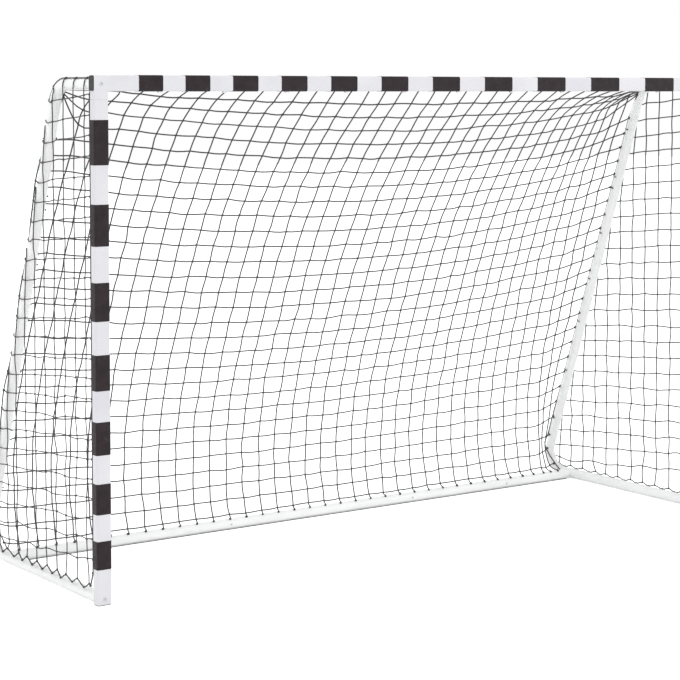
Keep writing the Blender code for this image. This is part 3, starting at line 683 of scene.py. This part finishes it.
LEFT_NET = SideNet(
    -1, "left_net", seed=31, looseness=0.0022, start=1.640, cord=0.0019, hem_dip=0.018, hem_lift=0.004)
RIGHT_NET = SideNet(
    1, "right_net", seed=41, looseness=0.0020, start=1.624, cord=0.0023, hem_dip=0.009, hem_lift=-0.012)


def lacing_angle(height, seed):
    """Where the lacing lies round the upright: it wanders between its rear edge and its outer face."""
    fast, slow = LACING_WAVES
    return LACING_ANGLE + LACING_SWING * math.sin(height / fast + seed) * math.sin(height / slow + 2 * seed)


def tube_above(depth):
    """The tube that a side net's column at a depth hangs from, and the angles at which it goes round it."""
    past = (depth - BEND_CENTRE[0]) / (BEND_RADIUS + TUBE_RADIUS / 2)
    if past <= 0:
        return (np.array((depth, TOP_TUBE_Z)), np.array((0.0, 1.0))), TOP_TUBE_WRAP
    if past < math.sin(BEND_TURN):
        return on_bend(math.asin(past)), BEND_WRAP
    height = UPRIGHT_TOP[1] - (depth - UPRIGHT_WRAP_INSET - UPRIGHT_TOP[0]) / UPRIGHT_SLOPE
    return on_upright(height), UPRIGHT_WRAP


def column_depth(column):
    return SIDE_FRONT + (SIDE_FIRST_CELL + SIDE_MESH * (column - 1) if column else 0)


def row_height(level, depth, row):
    """The height at a depth of a side net's row, which would be at level if it didn't fall to the rear."""
    return max(level - SIDE_TILT * (depth - SIDE_TILT_FROM), SIDE_HEM + LEAST_ROW * (SIDE_ROWS - row))


def side_net_knots(net, chance):
    """A side net's knots by column and row, and the points by which each row goes round the upright."""
    grid, wraps = {}, {}
    for row in range(1, SIDE_ROWS + 1):
        level = net.start - SIDE_ROW * row
        z = row_height(level, upright_depth(level), row)
        tube = on_upright(z)
        room = tube[0][0] - TUBE_RADIUS - SIDE_FRONT - SIDE_FIRST_CELL    # for whole cells, in depth
        spread = net.looseness * (TOP_SHARE + FOOT_SHARE * row / SIDE_ROWS)
        for column in range(2 + int(room / SIDE_MESH)):
            depth = column_depth(column)
            grid[column, row] = np.array((net.side * SIDE_NET_X, depth, row_height(level, depth, row)))
            if column:
                grid[column, row] += chance.normal(0, spread, 3) * KNOT_AXES
        angle = lacing_angle(z, net.seed) + chance.normal(0, LACING_JITTER)
        loop = LOOP_LEAST + abs(chance.normal(0, LOOP_SPREAD))
        wraps[row] = [
            on_tube(net.side, tube, WRAP_FROM, WRAP_GAP),
            on_tube(net.side, tube, (WRAP_FACE + angle) / 2, HALFWAY_GAP),
            on_tube(net.side, tube, angle, loop),
        ]
    return grid, wraps


def side_hem(net, grid, columns):
    """The hem, which dips between the ends of the columns. Those ends are moved to its height."""
    hem = []
    for column in range(columns):
        if (column, SIDE_ROWS) in grid:
            end = grid[column, SIDE_ROWS]
            end[2] = SIDE_HEM + (net.hem_lift if column else SIDE_CORNER_LIFT)
            dip_at, share = (DIP_AT, DIP_SHARE) if column else (CORNER_DIP_AT, CORNER_DIP_SHARE)
            hem += [end, end + (0, SIDE_MESH * dip_at, -net.hem_dip * share)]
    hem.append(on_tube(net.side, on_upright(HEM_END_HEIGHT), HEM_END_ANGLE))
    return hem


def add_side_net(net, strand, knot):
    chance = np.random.default_rng(net.seed)
    grid, wraps = side_net_knots(net, chance)
    columns = max(column for column, row in grid) + 1
    fine, edges = Cords(net.cord), Cords(EDGE_CORD)

    def bows(cells):
        return chance.normal(0, net.looseness * CORD_SHARE, (cells, 3)) * CORD_AXES

    placed = []
    for row in range(1, SIDE_ROWS):
        cells = [grid[column, row] for column in range(columns) if (column, row) in grid]
        placed += cells[1:]
        wander = bows(len(cells) + len(wraps[row]) - 1)
        wander[-len(wraps[row]):] = 0
        fine.sweep(smooth_path(in_goal(cells + wraps[row]), wander))
    hem = side_hem(net, grid, columns)
    top = []
    for column in range(columns):
        cells = [grid[column, row] for row in range(1, SIDE_ROWS + 1) if (column, row) in grid]
        depth = column_depth(column)
        tube, angles = tube_above(depth)
        over = [on_tube(net.side, tube, angle, WRAP_GAP) for angle in angles]
        if depth < BEND_CENTRE[0]:
            top.append(over[0])
        if column:
            wander = bows(len(cells) + len(over) - 1)
            wander[:len(over)] = 0
            fine.sweep(smooth_path(in_goal(over + cells), wander))
    bend = [on_tube(net.side, on_bend(BEND_TURN * share), BEND_EDGE_ANGLE) for share in BEND_EDGE_SHARES]
    laced = [wraps[row][-1] for row in range(1, SIDE_ROWS)]
    front = [grid[0, row] for row in range(1, SIDE_ROWS + 1)]
    for path in (hem, top + bend + laced + [hem[-1]], [top[0], *front]):
        edges.sweep(smooth_path(in_goal(path)))
    border = in_goal(hem + top + laced + front[:-1])
    carried(fine.build(net.node + "_mesh", strand), "black_cord", net.node)
    carried(edges.build(net.node + "_edge_cord", strand), "black_cord")
    carried(knots_mesh(net.node + "_knots", in_goal(placed), 1, knot, net.seed + 1), "black_cord")
    carried(knots_mesh(net.node + "_edge_knots", border, SIDE_EDGE_KNOT, knot, net.seed + 2), "black_cord")


# Lacing and clips

TIE_HEIGHTS = (1.45, 1.26, 1.215, 1.03, 0.84, 0.66, 0.45, 0.24)
TIE_FROM, TIE_TURN, TIE_STEPS = -108, 158, 12    # degrees round the upright
TIE_FALL = 0.0006                                # for each step
TIE_GAP, TIE_PINCH = 0.0034, 0.0008
TIE_KNOT = 0.8                                   # of a knot's radius

CLIPS, FIRST_CLIP_X, CLIP_PITCH = 10, -1.08, 0.24
CLIP_WIDTH, CLIP_RADIUS, CLIP_WALL = 0.014, 0.0052, 0.0016
CLIP_FROM, CLIP_TURN, CLIP_STEPS = 40, 280, 12   # degrees of its hook
CLIP_ROUNDING = 0.2                              # of its wall
# What a clip holds, how far it is moved from there in x, depth and height, and its tilt in degrees
CLIP_PLACES = ((NET_HEM, (0, -0.0005, 0.001), 150), (NET_TOP, (0.03, -0.001, 0), 60))


def add_ties(strand, knot):
    """Short cords that lace the rear net to the side nets, round the back of each upright."""
    loops, places = Cords(TIE_CORD), []
    for side in (-1, 1):
        for height in TIE_HEIGHTS:
            path = []
            for step in range(TIE_STEPS + 1):
                angle = TIE_FROM + TIE_TURN * step / TIE_STEPS
                gap = TIE_GAP - TIE_PINCH * math.cos(math.radians(angle))
                path.append(on_tube(side, on_upright(height - TIE_FALL * step), angle, gap))
            loops.sweep(in_goal(path))
            places.append(path[1])
    carried(loops.build("net_ties", strand), "black_cord")
    carried(knots_mesh("net_tie_knots", in_goal(places), TIE_KNOT, knot, seed=21), "black_cord")


def clip_shape():
    """A small moulded clip: a C-shaped hook, open at the front, with rounded lips."""
    shape = bmesh.new()
    half, inner = CLIP_WIDTH / 2, 1 - CLIP_WALL / CLIP_RADIUS
    rings = []
    for step in range(CLIP_STEPS + 1):
        angle = math.radians(CLIP_FROM + CLIP_TURN * step / CLIP_STEPS)
        y, z = math.cos(angle) * CLIP_RADIUS, math.sin(angle) * CLIP_RADIUS
        corners = ((-half, 1), (half, 1), (half, inner), (-half, inner))
        rings.append([shape.verts.new((x, y * share, z * share)) for x, share in corners])
    for a, b in zip(rings, rings[1:]):
        for k in range(4):
            shape.faces.new((a[k], a[(k + 1) % 4], b[(k + 1) % 4], b[k]))
    shape.faces.new(rings[0][::-1])
    shape.faces.new(rings[-1])
    rounding = CLIP_WALL * CLIP_ROUNDING
    bmesh.ops.bevel(shape, geom=shape.edges[:], offset=rounding, segments=2, affect="EDGES")
    bmesh.ops.recalc_face_normals(shape, faces=shape.faces)
    return shape


def add_clips(material):
    """White clips that hold the net's bottom cord to the rear rail, and its top cord to the crossbar."""
    joined = bmesh.new()
    for number in range(CLIPS):
        for (depth, height), (across, back, up), tilt in CLIP_PLACES:
            place = (FIRST_CLIP_X + CLIP_PITCH * number + across, FRONT_Y + depth + back, height + up)
            shape = clip_shape()
            mesh = bpy.data.meshes.new("clip")
            shape.to_mesh(mesh)
            shape.free()
            mesh.transform(Matrix.Translation(place) @ Matrix.Rotation(math.radians(tilt), 4, "X"))
            joined.from_mesh(mesh)
            bpy.data.meshes.remove(mesh)
    mesh = bpy.data.meshes.new("net_clips")
    joined.to_mesh(mesh)
    joined.free()
    mesh.materials.append(material)
    mesh.shade_smooth()
    carried(new_object("net_clips", mesh), "white_round_tube")


def dress_nodes(finishes):
    """Every carried-over CAD node takes the finish of its material slot."""
    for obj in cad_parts.values():
        for slot in obj.material_slots:
            slot.material = finishes[slot.material.name]


add_camera()
add_world()
add_floor()
add_lamps()
# Painted light: the round and square tubes wear one white powder coat, and the round tubes' white is painted
# lighter than the square tubes' white, to make up for the shade on their sides and undersides.
white_round = powder_coat("white_round", linear(246, 247, 246), linear(241, 242, 241))
FINISHES = {
    "white_square_tube": powder_coat("white_square", linear(221, 221, 224), linear(211, 211, 216)),
    "white_round_tube": white_round,
    "black_tape": tape("tape"),
    "black_plastic": moulded_plastic("plug_plastic"),
    "zinc_steel": zinc("zinc"),
    "black_cord": twine("net_cord", False),
}
strand, knot = twine("twine_strand", True), twine("twine_knot", False)
dress_nodes(FINISHES)
add_rear_net(strand, knot)
add_side_net(LEFT_NET, strand, knot)
add_side_net(RIGHT_NET, strand, knot)
add_ties(strand, knot)
# The clips take the round tubes' white, which is painted lighter as painted light.
add_clips(white_round)

bpy.context.scene.view_settings.view_transform = "Standard"
